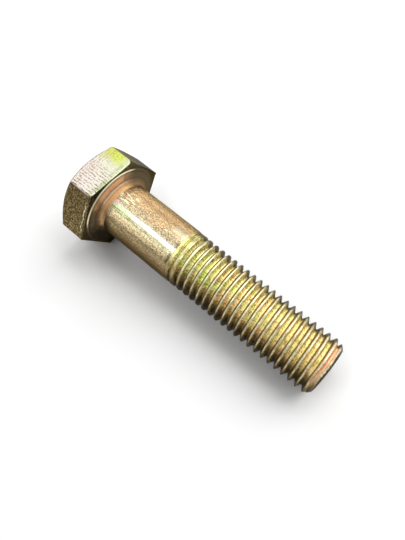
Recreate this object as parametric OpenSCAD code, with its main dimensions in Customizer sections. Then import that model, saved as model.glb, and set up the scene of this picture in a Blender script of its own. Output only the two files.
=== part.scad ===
// Hex head bolt, forged and rolled in one piece: a chamfered hexagon head with a
// washer face, a plain shank with a fillet under the head, and a right-hand thread
// that fades in from the shank and ends in a chamfered point.
// It lies as it comes to rest: on one flat of the head and on its last full crest.
// All sizes are in millimetres.

/* [Head] */
// Width across two opposite flats of the hexagon
across_flats = 12.7; // [11:0.05:16]
// Height of the head, washer face included
head_height = 4.9; // [3.5:0.05:8]
// How far the flat circle on top of the head stands back from the flats
top_circle_inset = 0.3; // [0.1:0.05:0.8]
// Slope of the chamfer round the top of the head, in degrees
top_chamfer_angle = 30; // [15:1:45]
// How far the washer face under the head stands back from the flats
washer_face_inset = 0.1; // [0.05:0.01:0.6]
// Height of the washer face under the hexagon
washer_face_height = 0.45; // [0.2:0.05:0.8]

/* [Shank] */
// Length from the bearing face under the head to the point
bolt_length = 34.925; // [30:0.005:60]
// Diameter of the plain shank
shank_dia = 7.9; // [7.5:0.01:8.6]
// Radius of the fillet between the shank and the bearing face
fillet_radius = 0.6; // [0.2:0.05:1.2]

/* [Thread] */
// Advance of the thread in one turn
pitch = 1.0583; // [0.9:0.0001:1.3]
// Length from the point back to the first trace of the thread
thread_length = 23.4; // [12:0.1:28]
// How far the crests stay under the shank
crest_inset = 0.04; // [0.02:0.01:0.2]
// Width of a full crest along the bolt
crest_width = 0.132; // [0.08:0.001:0.2]
// Width of the rounded root along the bolt
root_width = 0.2; // [0.12:0.01:0.26]
// Angle of each flank from square to the bolt, in degrees
flank_angle = 30; // [27:0.5:35]
// Turns over which the groove grows from a trace to its full depth
fade_turns = 2.2; // [1:0.1:4]
// Angle round the bolt at which the thread starts, in degrees
start_angle = 340; // [0:10:350]

/* [Point] */
// How far the flat end stands back from the roots of the thread
end_inset = 0.08; // [0.04:0.01:0.5]
// Slope of the chamfer at the point, in degrees
point_chamfer_angle = 45; // [30:1:60]

/* [Hidden] */

steps = 36;               // facets in one turn of the thread
round_steps = 96;         // facets round the turned shapes
root_sag = 0.03;          // how much deeper the root's middle is than its sides
bury = 0.6;               // how far the thread's solid starts inside the shank
past = 1;                 // how far cutting shapes reach past what they cut

flat_radius = across_flats / 2;
corner_radius = flat_radius / cos(30);
top_circle_radius = flat_radius - top_circle_inset;
washer_face_radius = flat_radius - washer_face_inset;
shank_radius = shank_dia / 2;
shank_length = bolt_length - thread_length;

// The thread: a groove as wide at its mouth as the crests leave free
crest_radius = shank_radius - crest_inset;
mouth_width = pitch - crest_width;
flank_depth = (mouth_width - root_width) / 2 / tan(flank_angle);
turns = ceil(thread_length / pitch) + 1;
end_radius = crest_radius - flank_depth - root_sag - end_inset;

// The lying pose: the head's lower flat touches at its edge next to the washer
// face, and the thread touches at its last full crest before the point's chamfer
chamfer_start = bolt_length - (crest_radius - end_radius) / tan(point_chamfer_angle);
first_low_crest = groove_place(1 - start_angle / 360) + mouth_width / 2;
low_crests = floor((chamfer_start - first_low_crest) / pitch);
last_low_crest = min(chamfer_start, first_low_crest + low_crests * pitch + crest_width);
dip = atan((flat_radius - crest_radius) / (last_low_crest + washer_face_height));
lift = flat_radius * cos(dip) - washer_face_height * sin(dip);
back_reach = head_height * cos(dip) + top_circle_radius * sin(dip);
front_reach = bolt_length * cos(dip) + end_radius * sin(dip);

// How far along the bolt the middle of the groove lies after a number of turns
function groove_place(turn) = shank_length + pitch * turn;

// How much of its full depth the groove has after a number of turns
function groove_share(turn) = min(1, (turn + 1 / steps) / fade_turns);

// The groove's outline after a number of turns, as pairs of place and radius.
// A shallow groove is narrower too, so that its flanks keep their slope.
function groove_outline(turn) =
    let (
        share = groove_share(turn),
        middle = groove_place(turn),
        side = root_width / 2,
        mouth = side + (mouth_width - root_width) / 2 * share
    )
    [
        [middle - mouth, crest_radius],
        [middle - side, crest_radius - flank_depth * share],
        [middle, crest_radius - (flank_depth + root_sag) * share],
        [middle + side, crest_radius - flank_depth * share],
        [middle + mouth, crest_radius]
    ];

// One lengthwise line of the thread's surface at a step of the turn, from a
// stub inside the shank to a stub past the point
function thread_line(step) =
    concat(
        [[shank_length - bury, crest_radius - bury]],
        [[shank_length - bury / 2, crest_radius]],
        [
            for (n = [0 : turns - 1])
                each groove_outline(n + step / steps)
        ],
        [[groove_place(turns + 1), crest_radius]],
        [[groove_place(turns + 1) + bury, crest_radius - bury]]
    );

// The thread from inside the shank to past the point, along +Z. Next to each
// other, the lengthwise lines make strips. At the seam, where the turn starts
// again, each groove meets the next one, and a fan closes the strip at each end.
module thread_solid() {
    outline = len(groove_outline(0));
    line = len(thread_line(0));
    points = [
        for (step = [0 : steps - 1], p = thread_line(step))
            let (a = start_angle + 360 * step / steps)
            [p[1] * cos(a), p[1] * sin(a), p[0]]
    ];
    seam_line = (steps - 1) * line;
    last = line - 2;
    strips = [
        for (step = [0 : steps - 2], k = [0 : last])
            let (a = step * line + k, b = a + line)
            each [[a, a + 1, b + 1], [a, b + 1, b]]
    ];
    seam = [
        for (k = [2 : last - 2 - outline])
            let (a = seam_line + k, b = k + outline)
            each [[a, a + 1, b + 1], [a, b + 1, b]]
    ];
    start_fan = [
        [seam_line, seam_line + 1, 1],
        [seam_line, 1, 0],
        [seam_line + 1, seam_line + 2, 2 + outline],
        for (k = [1 : 1 + outline])
            [seam_line + 1, k + 1, k]
    ];
    end_fan = [
        [seam_line + last, seam_line + last + 1, last + 1],
        [seam_line + last, last + 1, last],
        [seam_line + last - 1 - outline, last, last - 1],
        for (k = [last - 1 - outline : last - 1])
            [seam_line + k, seam_line + k + 1, last]
    ];
    caps = [
        [for (step = [0 : steps - 1]) step * line],
        [for (step = [steps - 1 : -1 : 0]) step * line + last + 1]
    ];
    polyhedron(points, concat(strips, seam, start_fan, end_fan, caps));
}

// The hexagon with the chamfer round its top
module hexagon_head() {
    top = -head_height;
    reach = corner_radius + past;
    intersection() {
        translate([0, 0, top])
            rotate(30)
                cylinder(r = corner_radius, h = head_height - washer_face_height, $fn = 6);
        rotate_extrude($fn = round_steps)
            polygon([
                [0, top],
                [top_circle_radius, top],
                [reach, top + (reach - top_circle_radius) * tan(top_chamfer_angle)],
                [reach, 0],
                [0, 0]
            ]);
    }
}

// The washer face, the fillet and the plain shank, turned from one outline
module shank() {
    fillet_reach = shank_radius + fillet_radius;
    rotate_extrude($fn = round_steps) {
        translate([0, -washer_face_height - past])
            square([washer_face_radius, washer_face_height + past]);
        square([shank_radius, shank_length]);
        difference() {
            square([fillet_reach, fillet_radius]);
            translate([fillet_reach, fillet_radius])
                circle(fillet_radius, $fn = round_steps);
        }
    }
}

// The thread, cut to the flat end and its chamfer
module thread() {
    foot = shank_length - bury - past;
    reach = crest_radius + past;
    intersection() {
        thread_solid();
        rotate_extrude($fn = round_steps)
            polygon([
                [0, foot],
                [reach, foot],
                [reach, bolt_length - (reach - end_radius) / tan(point_chamfer_angle)],
                [end_radius, bolt_length],
                [0, bolt_length]
            ]);
    }
}

module bolt() {
    color([0.72, 0.62, 0.38])
        translate([(back_reach - front_reach) / 2, 0, lift])
            rotate([0, 90 + dip, 0]) {
                hexagon_head();
                shank();
                thread();
            }
}

bolt();
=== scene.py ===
import math

import bmesh
import bpy
from mathutils import Euler, Matrix, Vector, noise


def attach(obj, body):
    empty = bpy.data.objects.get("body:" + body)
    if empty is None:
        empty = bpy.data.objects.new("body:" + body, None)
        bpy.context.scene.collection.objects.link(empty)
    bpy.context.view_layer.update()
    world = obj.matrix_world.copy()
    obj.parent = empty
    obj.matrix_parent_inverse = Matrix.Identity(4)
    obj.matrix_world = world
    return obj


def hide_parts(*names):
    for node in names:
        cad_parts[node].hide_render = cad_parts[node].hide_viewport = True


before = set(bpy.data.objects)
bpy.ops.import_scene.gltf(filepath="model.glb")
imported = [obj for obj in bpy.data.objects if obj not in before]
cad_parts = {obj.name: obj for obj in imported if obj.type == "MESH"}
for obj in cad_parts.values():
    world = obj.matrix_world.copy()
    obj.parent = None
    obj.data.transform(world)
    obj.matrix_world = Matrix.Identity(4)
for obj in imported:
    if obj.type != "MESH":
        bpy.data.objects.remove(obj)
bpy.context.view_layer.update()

scene = bpy.context.scene
scene.view_settings.view_transform = 'Standard'

# The bolt, in millimetres along its own axis: zero is the bearing face under the
# head, the head is on the minus side and the point at boltLength. Angles are in
# degrees
boltSizes = {
    "flatRadius": 6.35,           # half of the width across the flats
    "headTop": -4.9,
    "topRings": (1.5, 3, 4.5, 5.5, 5.9),
    "topCircle": 6.05,            # flat circle on top of the head
    "topSlope": 30,               # chamfer round the top
    "flatRings": (0, 0.05, 0.2, 0.35, 0.5, 0.65, 0.8, 0.95, 1),
    "cornerBevel": (0.13, 3),     # width and segments
    "edgeBevel": (0.09, 2),
    "underHead": -0.45,           # where the hexagon ends and the washer face starts
    # the slightly crowned washer face: place and radius of each ring
    "washerRings": ((-0.45, 6.24), (-0.43, 6.19), (-0.4, 6.11), (-0.37, 6.06),
                    (-0.29, 6.0), (-0.25, 5.94), (-0.22, 5.82), (-0.18, 5.6),
                    (-0.12, 5.25), (-0.06, 4.9), (-0.02, 4.7)),
    "fillet": 0.6,
    "filletSteps": 10,
    "shankRadius": 3.95,
    "shankSteps": 40,
    "shankStop": 0.25,            # distance of the shank's last ring from the thread
    "lipPlace": 0.08,             # the same for the lip, where the crests start
    "lipRise": 0.005,             # height of the lip over the crests
    "boltLength": 34.925,
    "threadStart": 11.525,
    "pitch": 1.0583,
    "startAngle": 340,            # from straight down: here a groove crosses threadStart
    "fadeTurns": 2.2,             # the groove grows over these turns
    "crestRadius": 3.91,
    "crestWidth": 0.132,
    "crestEdge": ((-0.001, 0.012), (0.022, 0.002)),  # across from the mouth, depth
    "flankAngle": 30,
    "flankSteps": (0.85, 0.7, 0.5, 0.3, 0.15, 0.05),
    "rootRadius": 0.115,          # rounding at the bottom of the groove
    "rootSteps": 4,
    "grooveDepth": 0.629,         # down to where that rounding starts
    "endRadius": 3.171,
    "pointLength": 1.1,           # the rounded run from the last crests to the end
    "lastRun": 0.7,               # the groove runs out over this length at the end
    "endRings": ((3.12, 0), (2.9, 0.01), (2.2, 0.03), (1.2, 0.07), (0.4, 0.09)),
    "crestWear": 0.03,
    "wearReach": 0.2,             # part of the groove's depth that wears with the crest
    "wearSpots": (2.4, 2.2),      # how fine the wear is round the bolt and along it
    # knocks on the crests: place, angle (0 on the +Y side, 90 on top), half length,
    # half width as an angle, depth
    "knocks": ((32.16, 126, 0.22, 3.5, 0.16), (31.98, 81, 0.3, 6, 0.12),
               (30.45, 142, 0.2, 3, 0.08), (17.4, 150, 0.2, 2.5, 0.09),
               (22.8, 98, 0.2, 2, 0.07), (26.2, 60, 0.2, 4, 0.1),
               (19.9, 250, 0.2, 5, 0.12), (28.1, 300, 0.2, 4, 0.1),
               (24.2, 200, 0.2, 3, 0.1)),
    "ringSteps": 192,             # corners round the turned shapes
    "threadSteps": 120,           # corners in one turn of the thread
    "weld": 0.0005,               # points closer than this become one
    "slack": 0.01,                # and closer than this count as level
    "cutSlack": 0.00001,
    "sharpAngle": 38,
    "dip": 4.129598,              # how far the point lies lower than the head
    "move": (-14.869861, 0, 6.301108),
}


def everything(mesh):
    return mesh.verts[:] + mesh.edges[:] + mesh.faces[:]


def hexReach(angle):
    turn = (angle + math.pi / 6) % (math.pi / 3) - math.pi / 6
    return boltSizes["flatRadius"] / math.cos(turn)


def chamferPlace(radius):
    slope = math.tan(math.radians(boltSizes["topSlope"]))
    return boltSizes["headTop"] + (radius - boltSizes["topCircle"]) * slope


def nextRing(mesh, edges, outline):
    made = bmesh.ops.extrude_edge_only(mesh, edges=edges)["geom"]
    for vert in made:
        if isinstance(vert, bmesh.types.BMVert):
            angle = math.atan2(vert.co.y, vert.co.x)
            place, radius = outline(angle)
            vert.co = (radius * math.cos(angle), radius * math.sin(angle), place)
    return [e for e in made if isinstance(e, bmesh.types.BMEdge) and e.is_boundary]


def roundOff(mesh, edges, offset, segments):
    bmesh.ops.bevel(mesh, geom=edges, offset=offset, offset_type='OFFSET', affect='EDGES',
                    segments=segments, profile=0.5, clamp_overlap=True, material=-1)


def makeHeadAndShank(mesh):
    s = boltSizes
    top, under = s["headTop"], s["underHead"]
    bmesh.ops.create_circle(mesh, cap_ends=True, cap_tris=True, segments=s["ringSteps"],
                            radius=s["topRings"][0], matrix=Matrix.Translation((0, 0, top)))
    edges = [e for e in mesh.edges if e.is_boundary]
    for radius in s["topRings"][1:] + (s["topCircle"],):
        edges = nextRing(mesh, edges, lambda a, r=radius: (top, r))
    soft = edges[:]
    for share in s["flatRings"]:
        edges = nextRing(mesh, edges, lambda a, k=share: (
            chamferPlace(hexReach(a)) * (1 - k) + under * k, hexReach(a)))
        if share in (0, 1):
            soft += edges
    for place, radius in s["washerRings"]:
        edges = nextRing(mesh, edges, lambda a, p=place, r=radius: (p, r))
    for step in range(s["filletSteps"] + 1):
        turn = math.radians(90 * step / s["filletSteps"])
        place = s["fillet"] * (1 - math.cos(turn))
        radius = s["shankRadius"] + s["fillet"] * (1 - math.sin(turn))
        edges = nextRing(mesh, edges, lambda a, p=place, r=radius: (p, r))
    shankRun = s["threadStart"] - s["shankStop"] - s["fillet"]
    for step in range(s["shankSteps"]):
        place = s["fillet"] + shankRun * (step + 1) / s["shankSteps"]
        edges = nextRing(mesh, edges, lambda a, p=place: (p, s["shankRadius"]))
    nextRing(mesh, edges, lambda a: (s["threadStart"] - s["lipPlace"],
                                     s["crestRadius"] + s["lipRise"]))
    # The edges of a forged hexagon are never quite sharp
    cornerRadius = hexReach(math.pi / 6) - s["slack"]
    under += s["slack"]
    corners = [e for e in mesh.edges if all(
        v.co.z < under and math.hypot(v.co.x, v.co.y) > cornerRadius
        for v in e.verts) and abs(e.verts[0].co.z - e.verts[1].co.z) > s["slack"]]
    roundOff(mesh, corners, *s["cornerBevel"])
    roundOff(mesh, [e for e in soft if e.is_valid], *s["edgeBevel"])
    for face in mesh.faces:
        place = face.calc_center_median().z
        face.material_index = 0 if place < under else 1 if place < s["fillet"] else 2


def grooveHalves():
    # Half of the groove's width at its mouth and where the rounding of its root starts
    s = boltSizes
    mouth = (s["pitch"] - s["crestWidth"]) / 2
    return mouth, s["rootRadius"] * math.cos(math.radians(s["flankAngle"]))


def grooveProfile():
    # One groove as distance from its middle and depth: the rounded root, the flanks
    # and the rounded edges of the crests
    s = boltSizes
    mouth, side = grooveHalves()
    flank = math.radians(s["flankAngle"])
    points = []
    for step in range(s["rootSteps"] + 1):
        turn = (math.pi / 2 - flank) * step / s["rootSteps"]
        points.append((s["rootRadius"] * math.sin(turn),
                       s["grooveDepth"] + s["rootRadius"] * (math.cos(turn) - math.sin(flank))))
    for share in s["flankSteps"]:
        points.append((side + (1 - share) * (mouth - side), share * s["grooveDepth"]))
    points += [(mouth + across, depth) for across, depth in s["crestEdge"]]
    points.append((s["pitch"] / 2, 0))
    return [(-across, depth) for across, depth in reversed(points[1:])] + points


def pointReach(place):
    # The bolt's outline towards the rounded point
    rest = min(1, max(0, (boltSizes["boltLength"] - place) / boltSizes["pointLength"]))
    rise = boltSizes["crestRadius"] - boltSizes["endRadius"]
    return boltSizes["endRadius"] + rise * (1 - (1 - rest) ** 2)


def knockDepth(place, angle):
    total = 0
    for knockPlace, knockAngle, length, width, depth in boltSizes["knocks"]:
        away = max(abs(place - knockPlace) / length,
                   abs((angle - knockAngle + 180) % 360 - 180) / width)
        total += depth * max(0, 1 - away * away)
    return total


def spinThread(mesh):
    # One turn is spun from the groove's profile, then copied along the bolt. A helix
    # doesn't close on itself, so the spin merges nothing
    s = boltSizes
    start = math.radians(s["startAngle"])
    verts = []
    for offset, depth in grooveProfile():
        radius = s["crestRadius"] - depth
        verts.append(mesh.verts.new((radius * math.cos(start), radius * math.sin(start),
                                     s["threadStart"] - s["pitch"] + offset)))
    edges = [mesh.edges.new(pair) for pair in zip(verts, verts[1:])]
    bmesh.ops.spin(mesh, geom=verts + edges, cent=(0, 0, 0), axis=(0, 0, 1),
                   dvec=(0, 0, s["pitch"] / s["threadSteps"]), angle=math.tau,
                   steps=s["threadSteps"], use_merge=False, use_duplicate=False)
    oneTurn = everything(mesh)
    turns = math.ceil((s["boltLength"] - s["threadStart"]) / s["pitch"])
    for turn in range(1, turns + 1):
        copy = bmesh.ops.duplicate(mesh, geom=oneTurn)["geom"]
        bmesh.ops.translate(mesh, vec=(0, 0, s["pitch"] * turn),
                            verts=[v for v in copy if isinstance(v, bmesh.types.BMVert)])


def wearThread(mesh):
    # The groove grows over the first turns, with its flanks at their slope, and runs
    # out at the point. The crests are worn and knocked
    s = boltSizes
    start = math.radians(s["startAngle"])
    mouth, side = grooveHalves()
    around, along = s["wearSpots"]
    depthLayer = mesh.verts.layers.float.new("grooveDepth")
    sideLayer = mesh.verts.layers.float.new("grooveSide")
    for vert in mesh.verts:
        angle = math.atan2(vert.co.y, vert.co.x)
        depth = s["crestRadius"] - math.hypot(vert.co.x, vert.co.y)
        part = ((angle - start) / math.tau) % 1
        whole = round((vert.co.z - s["threadStart"]) / s["pitch"] - part)
        middle = s["threadStart"] + s["pitch"] * (whole + part)
        offset = vert.co.z - middle
        share = min(1, max(0, (whole + part) / s["fadeTurns"]))
        width = abs(offset)
        newMouth = side + (mouth - side) * share
        if width > mouth:
            crest = (s["pitch"] / 2 - newMouth) / (s["pitch"] / 2 - mouth)
            width = newMouth + (width - mouth) * crest
        elif width > side:
            width = side + (width - side) * share
        place = middle + math.copysign(width, offset)
        ending = min(1, max(0, (s["boltLength"] - place) / s["lastRun"]))
        radius = min(s["crestRadius"] - depth * share * ending, pointReach(place))
        # worked out from the place, so that both sides of a crest wear alike
        grown = min(1, max(0, (place - s["threadStart"]) / s["pitch"] / s["fadeTurns"]))
        spot = Vector((math.cos(angle) * around, math.sin(angle) * around, place * along))
        worn = grown * ending * s["crestWear"] * (0.5 + 0.5 * noise.noise(spot))
        knock = knockDepth(place, math.degrees(angle) - 90)
        radius -= (1 - min(1, depth / s["wearReach"])) * (worn + knock)
        vert[depthLayer] = depth / s["grooveDepth"]
        vert[sideLayer] = offset / s["pitch"] * 2
        vert.co = (radius * math.cos(angle), radius * math.sin(angle), place)


def makeThread(mesh):
    s = boltSizes
    spinThread(mesh)
    wearThread(mesh)
    bmesh.ops.remove_doubles(mesh, verts=mesh.verts[:], dist=s["weld"])
    for place, towards in ((s["threadStart"], -1), (s["boltLength"], 1)):
        bmesh.ops.bisect_plane(mesh, geom=everything(mesh), dist=s["cutSlack"],
                               plane_co=(0, 0, place), plane_no=(0, 0, towards),
                               clear_outer=True, clear_inner=False)
    end = [e for e in mesh.edges
           if e.is_boundary and e.verts[0].co.z > s["boltLength"] - s["slack"]]
    for radius, rise in s["endRings"]:
        end = nextRing(mesh, end, lambda a, r=radius, d=rise: (s["boltLength"] - d, r))
    bmesh.ops.contextual_create(mesh, geom=end)
    for face in mesh.faces:
        face.material_index = 3


def makeBolt():
    mesh = bmesh.new()
    makeThread(mesh)
    head = bmesh.new()
    makeHeadAndShank(head)
    data = bpy.data.meshes.new("hexBolt")
    head.to_mesh(data)
    head.free()
    mesh.from_mesh(data)
    bmesh.ops.bridge_loops(mesh, edges=[e for e in mesh.edges if e.is_boundary])
    bmesh.ops.recalc_face_normals(mesh, faces=mesh.faces[:])
    print("bolt: open edges", sum(not e.is_manifold for e in mesh.edges), "faces", len(mesh.faces))
    matrix = (Matrix.Scale(0.001, 4) @ Matrix.Translation(boltSizes["move"])
              @ Matrix.Rotation(math.radians(90 + boltSizes["dip"]), 4, 'Y'))
    bmesh.ops.transform(mesh, matrix=matrix, verts=mesh.verts[:])
    for face in mesh.faces:
        face.smooth = True
    mesh.to_mesh(data)
    mesh.free()
    data.set_sharp_from_angle(angle=math.radians(boltSizes["sharpAngle"]))
    piece = bpy.data.objects.new("hexBolt", data)
    scene.collection.objects.link(piece)
    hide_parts("bolt")
    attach(piece, "root")
    return piece


bolt = makeBolt()
print("bolt done")


# Materials. Every pattern reads the place on the bolt: its own axes in millimetres,
# the angle round it in degrees (0 on the +Y side, 90 on top) and the distance
# from its axis
def addNode(tree, kind, values=None, **settings):
    node = tree.nodes.new("ShaderNode" + kind)
    for name, value in settings.items():
        setattr(node, name, value)
    for key, value in (values or {}).items():
        if isinstance(value, bpy.types.NodeSocket):
            tree.links.new(value, node.inputs[key])
        else:
            node.inputs[key].default_value = value
    return node


def calc(tree, operation, first, second=0.0, third=0.0):
    return addNode(tree, "Math", {0: first, 1: second, 2: third}, operation=operation).outputs[0]


def shifted(tree, base, pattern, amount):
    return calc(tree, 'MULTIPLY_ADD', pattern, amount, base)


def swayed(tree, base, pattern, amount):
    # moves a value to both sides by a pattern whose middle is a half
    return shifted(tree, base, calc(tree, 'SUBTRACT', pattern, 0.5), amount)


def fade(tree, value, low, high, outLow=0.0, outHigh=1.0):
    return addNode(tree, "MapRange", {0: value, 1: low, 2: high, 3: outLow, 4: outHigh},
                   interpolation_type='SMOOTHSTEP').outputs[0]


def both(tree, *shares):
    result = shares[0]
    for share in shares[1:]:
        result = calc(tree, 'MULTIPLY', result, share)
    return result


def band(tree, value, middle, half, soft):
    distance = calc(tree, 'ABSOLUTE', calc(tree, 'SUBTRACT', value, middle))
    return fade(tree, distance, half + soft, half)


def blend(tree, share, under, over, mode='MIX'):
    return addNode(tree, "Mix", {0: share, 6: under, 7: over}, data_type='RGBA',
                   blend_type=mode).outputs[2]


def paint(tree, colour, over, share, amount=1.0):
    # lays a colour over another one where a pattern says
    if amount != 1.0:
        share = calc(tree, 'MULTIPLY', share, amount)
    if isinstance(over, tuple):
        over = (*over, 1)
    return blend(tree, share, colour, over)


def tinted(tree, colour, tint):
    if isinstance(tint, tuple):
        tint = (*tint, 1)
    return blend(tree, 1.0, colour, tint, 'MULTIPLY')


def toned(tree, colour, factor):
    grey = addNode(tree, "CombineColor", {0: factor, 1: factor, 2: factor}).outputs[0]
    return tinted(tree, colour, grey)


def grain(tree, vector, scale=1.0, detail=2.0, roughness=0.5, distortion=0.0):
    return addNode(tree, "TexNoise", {"Vector": vector, "Scale": scale, "Detail": detail,
                                      "Roughness": roughness, "Distortion": distortion}).outputs[0]


def stretched(tree, vector, scale, move=(0, 0, 0)):
    return addNode(tree, "Mapping", {"Vector": vector, "Scale": scale, "Location": move}).outputs[0]


def joined(tree, first, second, third=0.0):
    return addNode(tree, "CombineXYZ", {0: first, 1: second, 2: third}).outputs[0]


def lined(tree, value, pattern, close, wavy):
    # lines across a value, made wavy by a pattern
    return calc(tree, 'SINE', shifted(tree, calc(tree, 'MULTIPLY', pattern, wavy), value, close))


def colourStops(tree, value, stops):
    low, high = stops[0][0], stops[-1][0]
    share = addNode(tree, "MapRange", {0: value, 1: low, 2: high}).outputs[0]
    ramp = addNode(tree, "ValToRGB", {0: share})
    elements = ramp.color_ramp.elements
    for _ in stops[2:]:
        elements.new(0.5)
    for element, (place, colour) in zip(elements, stops):
        element.position = (place - low) / (high - low)
        element.color = (*colour, 1)
    return ramp.outputs[0]


platingTint = (0.5, 0.45, 0.37, 1)  # of the light that grazes the metal


def startMetal(name):
    material = bpy.data.materials.new(name)
    material.use_nodes = True
    tree = material.node_tree
    shader = tree.nodes["Principled BSDF"]
    shader.inputs["Metallic"].default_value = 1
    shader.inputs["Specular Tint"].default_value = platingTint
    coordinates = addNode(tree, "TexCoord")
    turn = -math.radians(90 + boltSizes["dip"])
    back = Matrix.Rotation(turn, 4, 'Y') @ -Vector(boltSizes["move"])
    local = addNode(tree, "Mapping", {
        "Vector": coordinates.outputs["Object"], "Location": back,
        "Rotation": (0, turn, 0), "Scale": (1000, 1000, 1000)}).outputs[0]
    x, y, place = addNode(tree, "SeparateXYZ", {0: local}).outputs
    angle = calc(tree, 'ARCTAN2', calc(tree, 'MULTIPLY', y, -1.0), calc(tree, 'MULTIPLY', x, -1.0))
    angle = calc(tree, 'MULTIPLY_ADD', angle, math.degrees(1), 90.0)
    radius = calc(tree, 'SQRT', calc(tree, 'MULTIPLY_ADD', x, x, calc(tree, 'MULTIPLY', y, y)))
    return material, tree, shader, {"local": local, "x": x, "y": y, "place": place,
                                    "angle": angle, "radius": radius}


def finishMetal(tree, shader, colour, roughness, height, strength, distance):
    bump = addNode(tree, "Bump", {"Height": height, "Strength": strength, "Distance": distance})
    tree.links.new(colour, shader.inputs["Base Color"])
    tree.links.new(roughness, shader.inputs["Roughness"])
    tree.links.new(bump.outputs[0], shader.inputs["Normal"])


# The shank: copper tints at its sides, tan on top and near white at 110 degrees as painted light,
# dark olive below as painted shade
shankFinish = {
    # tints with painted light on the upper side and painted shade below
    "byAngle": (
        (-60, (0.10, 0.075, 0.04)), (0, (0.13, 0.09, 0.05)), (28, (0.17, 0.11, 0.05)),
        (40, (0.28, 0.17, 0.078)), (50, (0.4, 0.25, 0.104)), (60, (0.84, 0.5, 0.21)),
        (70, (0.86, 0.57, 0.27)), (80, (0.34, 0.235, 0.11)), (90, (0.32, 0.26, 0.15)),
        (100, (0.42, 0.39, 0.25)), (106, (0.62, 0.6, 0.45)), (111, (0.8, 0.82, 0.66)),
        (116, (0.98, 0.96, 0.62)), (122, (0.98, 0.94, 0.58)), (130, (0.88, 0.7, 0.4)),
        (136, (1.0, 0.78, 0.4)), (142, (1.0, 0.8, 0.42)), (149, (0.33, 0.23, 0.1)),
        (158, (0.15, 0.11, 0.053)), (170, (0.12, 0.095, 0.055)), (200, (0.19, 0.16, 0.1)),
        (260, (0.1, 0.075, 0.04))),
    "bloom": (0.6, 0.33, 0.16),
    # pale sparks, partly grain and partly painted glints
    "spark": (0.76, 0.62, 0.39),
    "speck": (0.22, 0.13, 0.055),
    # the painted highlight, its green and pink tints and the painted glints
    "sheen": (0.9, 0.93, 0.8),
    "green": (0.64, 0.8, 0.4),
    "pink": (0.75, 0.52, 0.5),
    "glint": (0.9, 0.86, 0.56),
    "line": (0.2, 0.2, 0.06),
    "patch": (0.6, 0.56, 0.38),
    "sheenAngle": 110.5,
    "lineAngles": (116.2, 119.5),
    "greenPlace": (1.9, 1.1),     # middle and half length, also of the glints
    "patchPlace": (10.4, 0.6),
    "bump": (0.4, 0.00004),       # strength, height in metres
}


def makeShankMetal():
    material, tree, shader, at = startMetal("yellowZincShank")
    look, local, place = shankFinish, at["local"], at["place"]
    fine = grain(tree, local, 6.6, 1, 0.5, 0.8)
    coarse = grain(tree, stretched(tree, local, (1, 1, 0.55)), 1.1, 3, 0.6)
    along = grain(tree, stretched(tree, local, (4.2, 4.2, 0.28)), 1.3, 3, 0.6)
    ticks = grain(tree, stretched(tree, local, (4.6, 4.6, 1.1), (2, 0, 5)), 1.0, 1, 0.5)
    angle = swayed(tree, swayed(tree, at["angle"], coarse, 10.0), fine, 9.0)
    colour = colourStops(tree, angle, look["byAngle"])
    # copper bloom in soft clouds over the upper side
    bloom = both(tree, fade(tree, coarse, 0.44, 0.62), band(tree, at["angle"], 74, 14, 18))
    colour = paint(tree, colour, look["bloom"], bloom, 0.8)
    # grain: pale sparks that fade out towards the lower side, partly grain and partly painted
    # glints; brown specks and long darker streaks
    spark = both(tree, fade(tree, fine, 0.51, 0.56), fade(tree, at["angle"], 175, 130))
    colour = paint(tree, colour, look["spark"], spark, 0.65)
    colour = paint(tree, colour, look["speck"], fade(tree, fine, 0.48, 0.42), 0.72)
    colour = toned(tree, colour, fade(tree, along, 0.35, 0.65, 0.82, 1.12))
    # a painted highlight: the bright streak that runs the length of the shank, tinted green next to
    # the head
    angle = swayed(tree, at["angle"], along, 5.0)
    sheen = both(tree, band(tree, angle, look["sheenAngle"], 2.6, 3.0),
                 fade(tree, place, 0.7, 1.6))
    colour = paint(tree, colour, look["sheen"], sheen, 0.8)
    green = both(tree, band(tree, angle, look["sheenAngle"] + 2, 4.4, 3.4),
                 band(tree, place, *look["greenPlace"], 1.6), fade(tree, fine, 0.36, 0.5))
    colour = paint(tree, colour, look["green"], green, 0.85)
    # pink tint in the painted highlight near the head
    pink = both(tree, band(tree, angle, 106, 3.5, 3), band(tree, place, 0.9, 0.2, 0.35))
    colour = paint(tree, colour, look["pink"], pink)
    # painted glints: short pale dashes on the upper side near the head
    glint = both(tree, band(tree, place, *look["greenPlace"], 0.4),
                 band(tree, at["angle"], 84, 11, 5), fade(tree, ticks, 0.53, 0.58))
    colour = paint(tree, colour, look["glint"], glint, 0.75)
    # two fine lines below it
    first, second = look["lineAngles"]
    lines = calc(tree, 'MAXIMUM', band(tree, angle, first, 0.3, 0.8),
                 band(tree, angle, second, 0.25, 0.7))
    lines = both(tree, lines, fade(tree, coarse, 0.36, 0.5), fade(tree, place, 11.2, 9.5))
    colour = paint(tree, colour, look["line"], lines, 0.8)
    # one pale patch before the thread
    patch = both(tree, band(tree, place, *look["patchPlace"], 0.8),
                 band(tree, at["angle"], 74, 6, 8))
    colour = paint(tree, colour, look["patch"], patch, 0.6)
    finishMetal(tree, shader, colour, fade(tree, fine, 0.3, 0.7, 0.36, 0.26),
                shifted(tree, fine, along, 0.5), *look["bump"])
    return material
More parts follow.
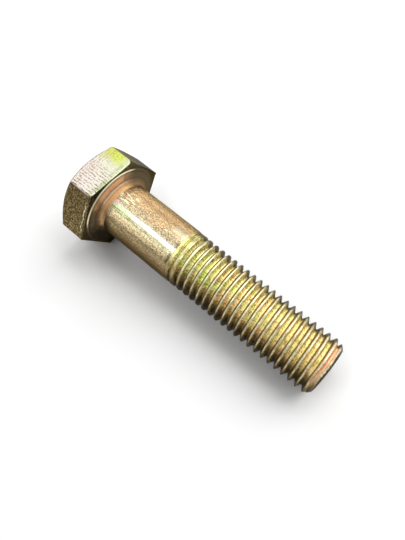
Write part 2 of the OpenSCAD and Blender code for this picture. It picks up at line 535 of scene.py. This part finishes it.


# The bearing face and the fillet: colours by the distance from the axis, a bright set with painted
# light on the upper side and a darker set with painted shade low on the bolt
bearingFinish = {
    # the bright set: tints with painted light for the upper side
    "top": (
        (3.9, (0.75, 0.48, 0.28)), (4.08, (1.0, 0.55, 0.22)), (4.35, (0.9, 0.5, 0.22)),
        (4.48, (0.95, 0.75, 0.48)), (4.66, (1.0, 0.92, 0.7)), (4.8, (0.7, 0.45, 0.3)),
        (4.89, (0.4, 0.17, 0.13)), (4.98, (1.0, 0.42, 0.2)), (5.3, (1.0, 0.55, 0.28)),
        (5.7, (1.0, 0.57, 0.29)), (5.84, (0.6, 0.36, 0.16)), (5.93, (0.13, 0.09, 0.04)),
        (5.98, (1.0, 0.88, 0.56)), (6.06, (1.0, 0.88, 0.56)), (6.1, (0.08, 0.06, 0.03)),
        (6.24, (0.06, 0.05, 0.03))),
    # the darker set: painted shade low on the bolt
    "low": (
        (3.9, (0.7, 0.45, 0.22)), (4.3, (0.5, 0.3, 0.15)), (4.6, (0.4, 0.27, 0.13)),
        (4.9, (0.22, 0.16, 0.08)), (5.3, (0.26, 0.18, 0.1)), (5.9, (0.15, 0.11, 0.06)),
        (6.02, (0.2, 0.16, 0.08)), (6.13, (0.07, 0.055, 0.03)), (6.24, (0.05, 0.04, 0.025))),
    "dark": (0.05, 0.038, 0.022),
    "speck": (0.1, 0.07, 0.04),
    "farShade": (0.05, 0.04, 0.022),
    # painted highlight along the rim
    "rim": (1.0, 0.88, 0.58),
    "rimRadius": 6.02,
    "bump": (0.35, 0.00004),
}


def makeBearingMetal():
    material, tree, shader, at = startMetal("yellowZincBearing")
    look = bearingFinish
    rings = grain(tree, joined(tree, at["radius"], at["place"]), 7.0, 2, 0.6)
    fine = grain(tree, at["local"], 5.0, 2.5, 0.65)
    clouds = grain(tree, at["local"], 0.8, 3, 0.55)
    uneven = both(tree, calc(tree, 'SUBTRACT', clouds, 0.5), fade(tree, at["radius"], 5.9, 5.5))
    radius = shifted(tree, at["radius"], uneven, 0.4)
    angle = swayed(tree, at["angle"], clouds, 50.0)
    share = both(tree, fade(tree, angle, 154, 108), fade(tree, angle, 46, 88))
    colour = blend(tree, share, colourStops(tree, radius, look["low"]),
                   colourStops(tree, radius, look["top"]))
    # painted shade, darkest on the lower side
    colour = paint(tree, colour, look["dark"], fade(tree, angle, 150, 195))
    # turning marks and specks
    colour = toned(tree, colour, fade(tree, rings, 0.3, 0.7, 0.7, 1.15))
    colour = paint(tree, colour, look["speck"], fade(tree, fine, 0.45, 0.3), 0.5)
    colour = paint(tree, colour, look["farShade"], fade(tree, at["angle"], 78, 46), 0.6)
    # a painted highlight: a thin pale line along the edge, on the upper side
    rim = both(tree, band(tree, at["radius"], look["rimRadius"], 0.045, 0.03),
               band(tree, at["angle"], 108, 46, 14))
    colour = paint(tree, colour, look["rim"], rim, 0.95)
    tree.links.new(fade(tree, share, 0.0, 1.0, 0.8, 0.05), shader.inputs["Metallic"])
    finishMetal(tree, shader, colour, fade(tree, fine, 0.3, 0.7, 0.5, 0.38),
                shifted(tree, fine, rings, 1.5), *look["bump"])
    return material


# The head is mottled olive and brown, darker partly as painted shade; its flat on top is painted
# nearly white as a painted reflection of the light
headFinish = {
    "mottle": (
        (0.3, (0.055, 0.036, 0.018)), (0.42, (0.095, 0.065, 0.031)),
        (0.5, (0.145, 0.105, 0.048)), (0.57, (0.27, 0.205, 0.095)),
        (0.64, (0.46, 0.37, 0.19)), (0.72, (0.75, 0.65, 0.4))),
    # painted shade on faces that look down or back to the shank
    "under": (0.03, 0.025, 0.015),
    "edgeHighlight": (1.0, 0.92, 0.62),
    "farFlat": (
        (0.3, (0.012, 0.01, 0.006)), (0.45, (0.045, 0.038, 0.02)), (0.55, (0.12, 0.11, 0.06)),
        (0.7, (0.4, 0.38, 0.26))),
    # painted shade towards the outline of the far flat
    "farDark": (0.012, 0.01, 0.006),
    # painted reflection: the pale colours of the flat on top
    "topFlat": (
        (0.3, (0.58, 0.54, 0.49)), (0.5, (0.63, 0.62, 0.53)), (0.7, (0.55, 0.58, 0.44))),
    "topPink": (0.62, 0.44, 0.46),
    "topLime": (
        (0.35, (0.26, 0.32, 0.04)), (0.45, (0.5, 0.56, 0.06)), (0.55, (0.7, 0.7, 0.08)),
        (0.65, (0.72, 0.7, 0.3))),
    "topFringe": (0.3, 0.38, 0.17),
    "topGreen": (0.36, 0.42, 0.17),
    "topSpecks": (0.15, 0.11, 0.075),
    "topRows": (0.36, 0.16, 0.2),
    "hatchLines": (15.0, 9.0),    # how close and how wavy the rows of specks are
    "rankLines": (17.0, 6.0),
    "bump": (0.3, 0.00004),
}


def makeHeadMetal():
    material, tree, shader, at = startMetal("yellowZincHead")
    look, local, place, x, y = headFinish, at["local"], at["place"], at["x"], at["y"]
    flat, bottom = boltSizes["flatRadius"], boltSizes["underHead"]
    fine = grain(tree, local, 4.0, 3.5, 0.72)
    coarse = grain(tree, local, 0.9, 3, 0.6)
    dashes = grain(tree, stretched(tree, local, (7.5, 7.5, 4.2)), 1.0, 1.5, 0.5)
    rows = grain(tree, stretched(tree, local, (2.2, 2.2, 9.0)), 1.0, 1.5, 0.5)
    # most faces are mottled, with painted shade where they look down or back to the shank
    lowSide = both(tree, fade(tree, at["angle"], 40, 22),
                   fade(tree, at["radius"], boltSizes["topCircle"], flat - 0.05))
    under = calc(tree, 'MAXIMUM', fade(tree, place, bottom - 0.05, bottom + 0.01), lowSide)
    colour = paint(tree, colourStops(tree, fine, look["mottle"]), look["under"], under, 0.75)
    # painted highlight: a pale line along the edge next to the washer face, on the flat at about
    # 150 degrees
    worn = both(tree, band(tree, shifted(tree, place, coarse, 0.9), bottom + 0.03, 0.03, 0.07),
                band(tree, at["angle"], 150, 18, 6), fade(tree, fine, 0.38, 0.5))
    colour = paint(tree, colour, look["edgeHighlight"], worn)
    # the flat on the far side is streaked along the bolt, with painted shade towards one side and
    # towards the top
    streaks = grain(tree, stretched(tree, local, (5, 5, 0.5)), 1.0, 3, 0.6)
    sine, cosine = math.sin(math.pi / 3), math.cos(math.pi / 3)
    farReach = shifted(tree, calc(tree, 'MULTIPLY', x, -cosine), y, sine)
    farSlide = shifted(tree, calc(tree, 'MULTIPLY', x, sine), y, cosine)
    pale = paint(tree, colourStops(tree, streaks, look["farFlat"]), look["farDark"],
                 fade(tree, farSlide, -2.6, 0.8))
    pale = paint(tree, pale, look["farDark"], fade(tree, place, -3.9, -4.5))
    colour = paint(tree, colour, pale, fade(tree, farReach, flat - 0.2, flat - 0.05))
    # the flat on top: painted nearly white as a painted reflection, with rows of pink and brown
    # specks and a lime corner
    cream = colourStops(tree, coarse, look["topFlat"])
    pink = both(tree, band(tree, shifted(tree, y, coarse, 2.5), -0.2, 1.6, 1.6),
                fade(tree, rows, 0.4, 0.6))
    cream = paint(tree, cream, look["topPink"], pink, 0.5)
    corner = both(tree, band(tree, shifted(tree, y, coarse, 2.2), 4.3, 0.3, 1.9),
                  band(tree, shifted(tree, place, fine, 2.0), -1.9, 0.8, 1.9))
    cream = paint(tree, cream, colourStops(tree, dashes, look["topLime"]), corner)
    fringe = both(tree, fade(tree, shifted(tree, place, fine, 0.8), -0.9, -0.5),
                  fade(tree, coarse, 0.62, 0.45))
    cream = paint(tree, cream, look["topFringe"], fringe, 0.75)
    green = both(tree, fade(tree, dashes, 0.46, 0.56), fade(tree, y, -1.5, 2.0))
    cream = paint(tree, cream, look["topGreen"], green, 0.6)
    hatch = lined(tree, y, coarse, *look["hatchLines"])
    specks = both(tree, fade(tree, hatch, 0.1, 0.6), fade(tree, dashes, 0.46, 0.52),
                  fade(tree, y, 1.5, -0.5), fade(tree, coarse, 0.34, 0.46))
    cream = paint(tree, cream, look["topSpecks"], specks, 0.9)
    rank = lined(tree, place, coarse, *look["rankLines"])
    rowSpecks = both(tree, fade(tree, rank, 0.2, 0.7), fade(tree, dashes, 0.45, 0.53),
                     fade(tree, shifted(tree, place, coarse, 2.0), -1.6, -2.6))
    cream = paint(tree, cream, look["topRows"], rowSpecks, 0.8)
    # it ends at the rounded corners next to the washer face
    cut = calc(tree, 'ADD', calc(tree, 'ABSOLUTE', y), place)
    onTop = both(tree, fade(tree, x, 0.17 - flat, 0.05 - flat), fade(tree, cut, 2.95, 2.75))
    colour = paint(tree, colour, cream, onTop)
    finishMetal(tree, shader, colour, fade(tree, fine, 0.3, 0.7, 0.42, 0.3),
                calc(tree, 'ADD', fine, dashes), *look["bump"])
    return material


# The thread: colours of its flanks and crests by angle, with painted light on top and painted shade
# at the upper outline and below, tints along the bolt, the gold of the last turns and the bands of
# the point
threadFinish = {
    # by angle: painted light near white on top, painted shade at the upper outline and below
    "flanks": (
        (-60, (0.05, 0.04, 0.02)), (0, (0.05, 0.04, 0.02)), (34, (0.03, 0.025, 0.014)),
        (42, (0.08, 0.07, 0.04)), (50, (0.46, 0.42, 0.26)), (60, (0.54, 0.49, 0.28)),
        (70, (0.6, 0.55, 0.32)), (80, (0.68, 0.61, 0.35)), (90, (0.84, 0.77, 0.44)),
        (100, (1.0, 0.98, 0.64)), (110, (1.0, 1.0, 0.82)), (120, (1.0, 1.0, 0.82)),
        (129, (0.96, 0.84, 0.56)), (140, (0.47, 0.38, 0.2)), (150, (0.24, 0.185, 0.09)),
        (160, (0.1, 0.075, 0.036)), (170, (0.028, 0.02, 0.011)), (200, (0.03, 0.022, 0.012)),
        (260, (0.05, 0.04, 0.02))),
    # by angle: painted highlight on top, painted shade at the upper outline and below
    "crests": (
        (-60, (0.03, 0.025, 0.015)), (36, (0.03, 0.025, 0.015)), (46, (0.16, 0.14, 0.08)),
        (56, (0.66, 0.6, 0.36)), (88, (1.0, 0.96, 0.6)), (125, (1.0, 0.95, 0.6)),
        (140, (0.86, 0.72, 0.44)), (152, (0.5, 0.4, 0.21)), (163, (0.22, 0.17, 0.08)),
        (172, (0.06, 0.045, 0.025)), (260, (0.04, 0.03, 0.02))),
    "crestPink": (0.8, 0.62, 0.58),
    "firstCrests": (
        (0.35, (0.62, 0.52, 0.3)), (0.5, (0.68, 0.66, 0.38)), (0.65, (0.78, 0.72, 0.48))),
    "tints": (
        (0.3, (0.9, 0.66, 0.5)), (0.46, (0.74, 0.8, 0.44)), (0.58, (0.92, 1.08, 0.26)),
        (0.66, (0.98, 0.8, 0.6)), (0.73, (0.86, 1.0, 0.36)), (0.82, (1.1, 0.94, 0.46)),
        (0.9, (1.12, 0.7, 0.62)), (0.96, (0.9, 0.9, 0.5)), (1.03, (1.16, 0.98, 0.3)),
        (1.12, (1.16, 0.7, 0.58)), (1.3, (1.1, 0.94, 0.45))),
    "lime": (0.84, 1.08, 0.2),
    "rosy": (1.12, 0.7, 0.5),
    "speck": (0.32, 0.22, 0.08),
    # pale sparks, partly painted glints
    "spark": (1.0, 0.95, 0.56),
    "root": (1.0, 0.95, 0.5),
    "firstRoots": (0.16, 0.14, 0.05),
    "rosyRoot": (1.0, 0.72, 0.42),
    "shade": (0.09, 0.065, 0.022),
    # gold of the last turns: tint with painted light
    "gold": (
        (0.32, (0.62, 0.55, 0.18)), (0.42, (0.95, 0.88, 0.3)), (0.48, (1.0, 0.82, 0.24)),
        (0.53, (1.0, 0.9, 0.55)), (0.6, (1.0, 0.66, 0.42)), (0.68, (0.85, 0.55, 0.34))),
    "goldLine": (0.22, 0.19, 0.05),
    "scribe": (0.25, 0.21, 0.08),
    "point": (
        (33.5, (1.0, 0.9, 0.6)), (33.9, (1.0, 0.86, 0.58)), (33.97, (0.45, 0.22, 0.1)),
        (34.04, (1.0, 0.42, 0.27)), (34.18, (0.95, 0.48, 0.3)), (34.26, (1.0, 0.9, 0.6)),
        (34.42, (0.72, 0.52, 0.28)), (34.48, (1.0, 0.93, 0.66)), (34.58, (1.0, 0.9, 0.6)),
        (34.68, (0.1, 0.07, 0.04)), (35.0, (0.04, 0.03, 0.02))),
    "endRim": (0.05, 0.04, 0.025),
    "endFace": (
        (0.3, (0.1, 0.07, 0.033)), (0.45, (0.2, 0.15, 0.07)), (0.55, (0.36, 0.29, 0.13)),
        (0.72, (0.62, 0.53, 0.3))),
    "firstTurns": (14.6, 12.4),   # the look of the first turns comes over these places
    "lastTurns": (21.0, 31.0),    # and that of the last turns over these
    "litSide": ((152, 122), (44, 66)),  # the angles over which the bright side comes
    "tipStart": (33.6, 33.8),
    "endStart": (34.72, 34.8),
    "endInner": (3.12, 2.96),     # radii over which the mottle comes in the end's rim
    "metallic": 0.5,
    "specular": 0.25,
    "bump": (0.25, 0.00003),
}


def makeThreadMetal():
    material, tree, shader, at = startMetal("yellowZincThread")
    look, local, place = threadFinish, at["local"], at["place"]
    shader.inputs["Metallic"].default_value = look["metallic"]
    shader.inputs["Specular IOR Level"].default_value = look["specular"]
    depth = addNode(tree, "Attribute", attribute_name="grooveDepth").outputs["Fac"]
    side = addNode(tree, "Attribute", attribute_name="grooveSide").outputs["Fac"]
    fine = grain(tree, local, 5.5, 1, 0.5, 0.4)
    patches = grain(tree, stretched(tree, local, (0.5, 0.5, 0.75)), 1.0, 2.5, 0.6)
    ribbons = grain(tree, stretched(tree, local, (1.1, 1.1, 6.5), (3, 7, 1)), 1.0, 2, 0.5)
    spots = grain(tree, stretched(tree, local, (0.8, 0.8, 0.8), (7, 3, 9)), 1.0, 2.5, 0.6)
    # fine strokes that follow the turns, and short ones across them
    lead = calc(tree, 'MULTIPLY', at["angle"], boltSizes["pitch"] / 360)
    turned = calc(tree, 'SUBTRACT', place, lead)
    strokes = grain(tree, joined(tree, calc(tree, 'MULTIPLY', at["angle"], 0.1),
                                 calc(tree, 'MULTIPLY', turned, 6.2), place), 1.0, 2, 0.6)
    hatch = grain(tree, joined(tree, calc(tree, 'MULTIPLY', at["angle"], 0.42),
                               calc(tree, 'MULTIPLY', turned, 2.2), 3.0), 1.0, 1, 0.5)
    angle = swayed(tree, at["angle"], patches, 18.0)
    uneven = swayed(tree, side, patches, 0.35)
    worn = swayed(tree, depth, strokes, 0.3)
    lit = both(tree, *[fade(tree, at["angle"], *edge) for edge in look["litSide"]])
    begin = fade(tree, place, *look["firstTurns"])
    late = fade(tree, place, *look["lastTurns"])
    # tints: lime near the shank, then gold and copper pink towards the point
    mixed = shifted(tree, calc(tree, 'MULTIPLY', patches, 0.55), ribbons, 0.9)
    shift = shifted(tree, mixed, calc(tree, 'SUBTRACT', place, 11.5), 0.011)
    lime = both(tree, fade(tree, spots, 0.48, 0.58), band(tree, place, 16.5, 4.5, 4.5),
                band(tree, at["angle"], 102, 22, 16))
    rosy = both(tree, fade(tree, spots, 0.51, 0.42), fade(tree, place, 15, 20),
                band(tree, at["angle"], 104, 28, 16))
    tint = paint(tree, colourStops(tree, shift, look["tints"]), look["lime"], lime, 0.85)
    tint = paint(tree, tint, look["rosy"], rosy, 0.8)
    colour = colourStops(tree, angle, look["flanks"])
    colour = paint(tree, colour, tinted(tree, colour, tint),
                   fade(tree, at["angle"], 165, 135, 0.25, 1.0))
    # grain: brown specks, and pale sparks on the lit side only, partly grain and partly painted
    # glints
    colour = paint(tree, colour, look["speck"], fade(tree, fine, 0.46, 0.4), 0.42)
    spark = both(tree, fade(tree, fine, 0.53, 0.62), lit)
    colour = paint(tree, colour, look["spark"], spark, 0.65)
    # the bottom of each groove shines yellow, with a thin shade before the next crest
    bottom = blend(tree, begin, (*look["root"], 1), (*look["firstRoots"], 1))
    bottom = paint(tree, bottom, look["rosyRoot"], rosy, 0.55)
    root = both(tree, band(tree, uneven, 0.12, 0.14, 0.12), lit)
    colour = paint(tree, colour, bottom, root, 0.75)
    away = calc(tree, 'SUBTRACT', swayed(tree, side, strokes, 0.25), 0.57)
    beyond = calc(tree, 'SUBTRACT', calc(tree, 'ABSOLUTE', away),
                  fade(tree, place, 14, 28, 0.26, 0.14))
    colour = paint(tree, colour, look["shade"], fade(tree, beyond, 0.12, 0.0), 0.93)
    # towards the point the flanks turn gold on the lit side only, partly tint and partly painted
    # light, and the crests are broader
    gold = both(tree, late, band(tree, uneven, -0.05, 0.26, 0.14), lit)
    colour = paint(tree, colour, colourStops(tree, strokes, look["gold"]), gold, 0.8)
    line = both(tree, late, band(tree, uneven, -0.6, 0.05, 0.09))
    colour = paint(tree, colour, look["goldLine"], line, 0.75)
    # the crests are bright, partly wear and partly painted highlight, with painted shade at the
    # upper outline and on the lower side, and duller where they start
    broad = both(tree, late, fade(tree, worn, 0.38, 0.24), fade(tree, at["angle"], 146, 122))
    crest = calc(tree, 'MAXIMUM', fade(tree, worn, 0.18, 0.06), broad)
    bright = colourStops(tree, angle, look["crests"])
    bright = paint(tree, bright, tinted(tree, bright, look["crestPink"]),
                   both(tree, broad, fade(tree, fine, 0.56, 0.48)), 0.8)
    dull = tinted(tree, colourStops(tree, ribbons, look["firstCrests"]), bright)
    bright = paint(tree, bright, dull, begin, 0.85)
    colour = paint(tree, colour, bright, crest)
    scribe = both(tree, begin, band(tree, calc(tree, 'ABSOLUTE', uneven), 0.66, 0.04, 0.08))
    colour = paint(tree, colour, look["scribe"], scribe, 0.7)
    # the strokes, weaker on the crests and towards the point
    share = both(tree, fade(tree, crest, 0.0, 1.0, 1.0, 0.3), fade(tree, late, 0.0, 1.0, 1.0, 0.5))
    colour = toned(tree, colour, calc(
        tree, 'MULTIPLY_ADD', fade(tree, hatch, 0.36, 0.62, -0.36, 0.45), share, 1.0))
    colour = toned(tree, colour, fade(tree, strokes, 0.36, 0.57, 0.72, 1.28))
    # the point: a pink line, a pale band, a dark, uneven rim and the bare end
    ragged = swayed(tree, swayed(tree, place, patches, 0.3), fine, 0.4)
    # painted only on the upper side: the pale bands are partly painted highlight
    tip = both(tree, fade(tree, place, *look["tipStart"]), fade(tree, angle, 160, 126),
               fade(tree, angle, 42, 60))
    colour = paint(tree, colour, colourStops(tree, ragged, look["point"]), tip)
    end = fade(tree, place, *look["endStart"])
    colour = paint(tree, colour, look["endRim"], end)
    mottle = grain(tree, local, 4.0, 3.5, 0.72)
    colour = paint(tree, colour, colourStops(tree, mottle, look["endFace"]),
                   both(tree, end, fade(tree, at["radius"], *look["endInner"])))
    finishMetal(tree, shader, colour, fade(tree, crest, 0.0, 1.0, 0.42, 0.3),
                shifted(tree, fine, ribbons, 0.6), *look["bump"])
    return material


# in the order of the faces' material numbers
for make in (makeHeadMetal, makeBearingMetal, makeShankMetal, makeThreadMetal):
    bolt.data.materials.append(make())
print("materials done")

floorLook = {
    "halfWidth": 1.0,
    "colour": (0.95, 0.95, 0.95, 1),
    "roughness": 0.9,
}
floorData = bpy.data.meshes.new("floor")
floorMesh = bmesh.new()
bmesh.ops.create_grid(floorMesh, x_segments=1, y_segments=1, size=floorLook["halfWidth"])
floorMesh.to_mesh(floorData)
floorMesh.free()
floor = bpy.data.objects.new("floor", floorData)
scene.collection.objects.link(floor)
paleFloor = bpy.data.materials.new("paleFloor")
paleFloor.use_nodes = True
floorShader = paleFloor.node_tree.nodes["Principled BSDF"]
floorShader.inputs["Base Color"].default_value = floorLook["colour"]
floorShader.inputs["Roughness"].default_value = floorLook["roughness"]
floorShader.inputs["Specular IOR Level"].default_value = 0
floor.data.materials.append(paleFloor)
print("floor done")

# Soft boxes round the bolt: azimuth and elevation in degrees, size in metres,
# brightness of the box's face
lights = {
    "distance": 0.35,
    "world": 0.02,
    "boxes": {
        "keyLeft": (142, 52, (0.3, 0.34), 1.65),
        "keyRight": (70, 50, (0.28, 0.34), 3.75),
        "backFill": (-168, 62, (0.1, 0.2), 1.0),
        "strip": (-104, 66, (0.25, 0.06), 3.9),
        "lowStrip": (-121, 37, (0.12, 0.27), 1.75),
        "front": (15, 42, (0.08, 0.1), 3.6),
        "farSide": (112, 10, (0.3, 0.14), 1.3),
    },
}


def addSoftBox(name, azimuth, elevation, size, radiance):
    lamp = bpy.data.lights.new(name, 'AREA')
    lamp.shape = 'RECTANGLE'
    lamp.size, lamp.size_y = size
    lamp.energy = radiance * math.pi * size[0] * size[1]
    box = bpy.data.objects.new(name, lamp)
    turn, rise = math.radians(azimuth), math.radians(elevation)
    towards = Vector((math.cos(rise) * math.cos(turn), math.cos(rise) * math.sin(turn),
                      math.sin(rise)))
    box.location = towards * lights["distance"]
    box.rotation_euler = towards.to_track_quat('Z', 'Y').to_euler()
    scene.collection.objects.link(box)


for name, values in lights["boxes"].items():
    addSoftBox(name, *values)
world = bpy.data.worlds.new("studio")
scene.world = world
world.use_nodes = True
background = world.node_tree.nodes["Background"]
background.inputs["Color"].default_value = (1, 1, 1, 1)
background.inputs["Strength"].default_value = lights["world"]
print("lights done")

camera = {
    "place": (0.01945038, -0.01734895, 0.05844785),
    "turn": (27.43106, 1.61856, 40.39992),
    "lens": 29.8293,              # for a picture 36 mm high
    "shift": (-0.0282670, -0.0210613),
}
lens = bpy.data.cameras.new("photoCamera")
lens.sensor_fit = 'VERTICAL'
lens.sensor_height = 36
lens.lens = camera["lens"]
lens.shift_x, lens.shift_y = camera["shift"]
lens.clip_start = 0.001
viewer = bpy.data.objects.new("photoCamera", lens)
viewer.location = camera["place"]
viewer.rotation_euler = Euler([math.radians(a) for a in camera["turn"]], 'XYZ')
scene.collection.objects.link(viewer)
scene.camera = viewer
print("camera done")
